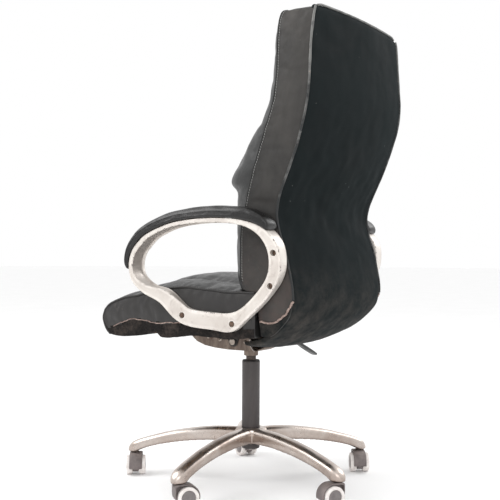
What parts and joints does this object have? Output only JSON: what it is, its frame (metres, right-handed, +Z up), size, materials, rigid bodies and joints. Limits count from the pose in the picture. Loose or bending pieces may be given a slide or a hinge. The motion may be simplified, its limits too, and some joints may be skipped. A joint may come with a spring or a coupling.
{
  "type": "swivel office chair",
  "caption": "High-back swivel office chair: star base on twin-wheel casters, gas lift, tilt mechanism with lever and knob, upholstered seat and back, closed-loop padded arms.",
  "frame": {"origin": "on the floor, under the middle of the whole chair's footprint", "axes": "+Z up; the chair faces -Y, and the sitter's left is +X"},
  "size_m": [0.688, 0.6954, 1.2454],
  "materials": {
    "polished_aluminium": "polished",
    "dark_steel": "satin",
    "dusty_steel": "matte",
    "bright_steel": "satin",
    "zinc_steel": "satin",
    "black_plastic": "satin",
    "guide_plastic": "matte",
    "hood_plastic": "matte",
    "wheel_plastic": "satin",
    "plywood": "matte",
    "seat_leather": "satin",
    "back_leather": "satin",
    "rear_suede": "matte",
    "pad_leather": "satin",
    "arm_paint": "satin"
  },
  "bodies": {
    "base": {"star_base": "polished_aluminium", "column_tube": "dark_steel", "guide_sleeve": "guide_plastic", "thrust_bearing": "bright_steel", "caster_stem_1": "zinc_steel", "caster_stem_2": "zinc_steel", "caster_stem_3": "zinc_steel", "caster_stem_4": "zinc_steel", "caster_stem_5": "zinc_steel"},
    "rod": {"piston_rod": "bright_steel", "retaining_clip": "bright_steel"},
    "lift": {"gas_cylinder": "bright_steel", "tilt_housing": "dusty_steel", "tilt_axle": "zinc_steel", "torsion_spring": "zinc_steel"},
    "button": {"release_button": "black_plastic"},
    "lever": {"lever_rod": "zinc_steel", "lever_paddle": "black_plastic"},
    "knob": {"tension_knob": "black_plastic"},
    "seat": {"seat_plate": "dark_steel", "seat_plate_bolt_1": "zinc_steel", "seat_plate_bolt_2": "zinc_steel", "seat_plate_bolt_3": "zinc_steel", "seat_plate_bolt_4": "zinc_steel", "seat_board": "plywood", "seat_cushion": "seat_leather", "back_shell": "rear_suede", "back_cushion": "back_leather", "arm_frame_left": "arm_paint", "arm_frame_right": "arm_paint", "arm_pad_left": "pad_leather", "arm_pad_right": "pad_leather", "arm_screw_left_1": "zinc_steel", "arm_screw_left_2": "zinc_steel", "arm_screw_left_3": "zinc_steel", "arm_screw_left_4": "zinc_steel", "arm_screw_right_1": "zinc_steel", "arm_screw_right_2": "zinc_steel", "arm_screw_right_3": "zinc_steel", "arm_screw_right_4": "zinc_steel"},
    "caster_1": {"caster_hood_1": "hood_plastic", "caster_axle_1": "zinc_steel"},
    "wheel_left_1": {"caster_wheel_left_1": "wheel_plastic"},
    "wheel_right_1": {"caster_wheel_right_1": "wheel_plastic"},
    "caster_2": {"caster_hood_2": "hood_plastic", "caster_axle_2": "zinc_steel"},
    "wheel_left_2": {"caster_wheel_left_2": "wheel_plastic"},
    "wheel_right_2": {"caster_wheel_right_2": "wheel_plastic"},
    "caster_3": {"caster_hood_3": "hood_plastic", "caster_axle_3": "zinc_steel"},
    "wheel_left_3": {"caster_wheel_left_3": "wheel_plastic"},
    "wheel_right_3": {"caster_wheel_right_3": "wheel_plastic"},
    "caster_4": {"caster_hood_4": "hood_plastic", "caster_axle_4": "zinc_steel"},
    "wheel_left_4": {"caster_wheel_left_4": "wheel_plastic"},
    "wheel_right_4": {"caster_wheel_right_4": "wheel_plastic"},
    "caster_5": {"caster_hood_5": "hood_plastic", "caster_axle_5": "zinc_steel"},
    "wheel_left_5": {"caster_wheel_left_5": "wheel_plastic"},
    "wheel_right_5": {"caster_wheel_right_5": "wheel_plastic"}
  },
  "joints": [
    {"name": "swivel", "type": "hinge", "parent": "base", "child": "rod", "pos_m": [-0.02, -0.00001, 0.25], "axis": [0, 0, 1], "continuous": true},
    {"name": "height", "type": "slide", "parent": "rod", "child": "lift", "axis": [0, 0, 1], "range_m": [0, 0.1]},
    {"name": "tilt", "type": "hinge", "parent": "lift", "child": "seat", "pos_m": [-0.02, -0.03201, 0.388], "axis": [-1, 0, 0], "range_deg": [0, 10], "stiffness_Nm_per_rad": 150, "springref_deg": -17.19},
    {"name": "tension", "type": "hinge", "parent": "lift", "child": "knob", "pos_m": [-0.091, -0.03201, 0.388], "axis": [1, 0, 0], "continuous": true},
    {"name": "lever_lift", "type": "hinge", "parent": "lift", "child": "lever", "pos_m": [-0.0585, 0.05199, 0.3935], "axis": [0, 1, 0], "range_deg": [0, 7], "stiffness_Nm_per_rad": 1, "springref_deg": -11.46},
    {"name": "button_press", "type": "slide", "parent": "lift", "child": "button", "axis": [0, 0, -1], "range_m": [0, 0.0048]},
    {"name": "caster_swivel_1", "type": "hinge", "parent": "base", "child": "caster_1", "pos_m": [0.32, -0.00001, 0.05], "axis": [0, 0, 1], "continuous": true},
    {"name": "wheel_roll_left_1", "type": "hinge", "parent": "caster_1", "child": "wheel_left_1", "pos_m": [0.30424, 0.0123, 0.027], "axis": [-0.6157, -0.788, 0], "continuous": true},
    {"name": "wheel_roll_right_1", "type": "hinge", "parent": "caster_1", "child": "wheel_right_1", "pos_m": [0.30424, 0.0123, 0.027], "axis": [-0.6157, -0.788, 0], "continuous": true},
    {"name": "caster_swivel_2", "type": "hinge", "parent": "base", "child": "caster_2", "pos_m": [0.08507, 0.32335, 0.05], "axis": [0, 0, 1], "continuous": true},
    {"name": "wheel_roll_left_2", "type": "hinge", "parent": "caster_2", "child": "wheel_left_2", "pos_m": [0.10221, 0.31305, 0.027], "axis": [0.515, 0.8572, 0], "continuous": true},
    {"name": "wheel_roll_right_2", "type": "hinge", "parent": "caster_2", "child": "wheel_right_2", "pos_m": [0.10221, 0.31305, 0.027], "axis": [0.515, 0.8572, 0], "continuous": true},
    {"name": "caster_swivel_3", "type": "hinge", "parent": "base", "child": "caster_3", "pos_m": [-0.29507, 0.19984, 0.05], "axis": [0, 0, 1], "continuous": true},
    {"name": "wheel_roll_left_3", "type": "hinge", "parent": "caster_3", "child": "wheel_left_3", "pos_m": [-0.27848, 0.21102, 0.027], "axis": [-0.5592, 0.829, 0], "continuous": true},
    {"name": "wheel_roll_right_3", "type": "hinge", "parent": "caster_3", "child": "wheel_right_3", "pos_m": [-0.27848, 0.21102, 0.027], "axis": [-0.5592, 0.829, 0], "continuous": true},
    {"name": "caster_swivel_4", "type": "hinge", "parent": "base", "child": "caster_4", "pos_m": [-0.29507, -0.19986, 0.05], "axis": [0, 0, 1], "continuous": true},
    {"name": "wheel_roll_left_4", "type": "hinge", "parent": "caster_4", "child": "wheel_left_4", "pos_m": [-0.28507, -0.18254, 0.027], "axis": [-0.866, 0.5, 0], "continuous": true},
    {"name": "wheel_roll_right_4", "type": "hinge", "parent": "caster_4", "child": "wheel_right_4", "pos_m": [-0.28507, -0.18254, 0.027], "axis": [-0.866, 0.5, 0], "continuous": true},
    {"name": "caster_swivel_5", "type": "hinge", "parent": "base", "child": "caster_5", "pos_m": [0.08507, -0.32337, 0.05], "axis": [0, 0, 1], "continuous": true},
    {"name": "wheel_roll_left_5", "type": "hinge", "parent": "caster_5", "child": "wheel_left_5", "pos_m": [0.10125, -0.31162, 0.027], "axis": [-0.5878, 0.809, 0], "continuous": true},
    {"name": "wheel_roll_right_5", "type": "hinge", "parent": "caster_5", "child": "wheel_right_5", "pos_m": [0.10125, -0.31162, 0.027], "axis": [-0.5878, 0.809, 0], "continuous": true}
  ],
  "couplings": [
    {"joint": "button_press", "follows": "lever_lift", "m_per_rad": 0.0385}
  ]
}
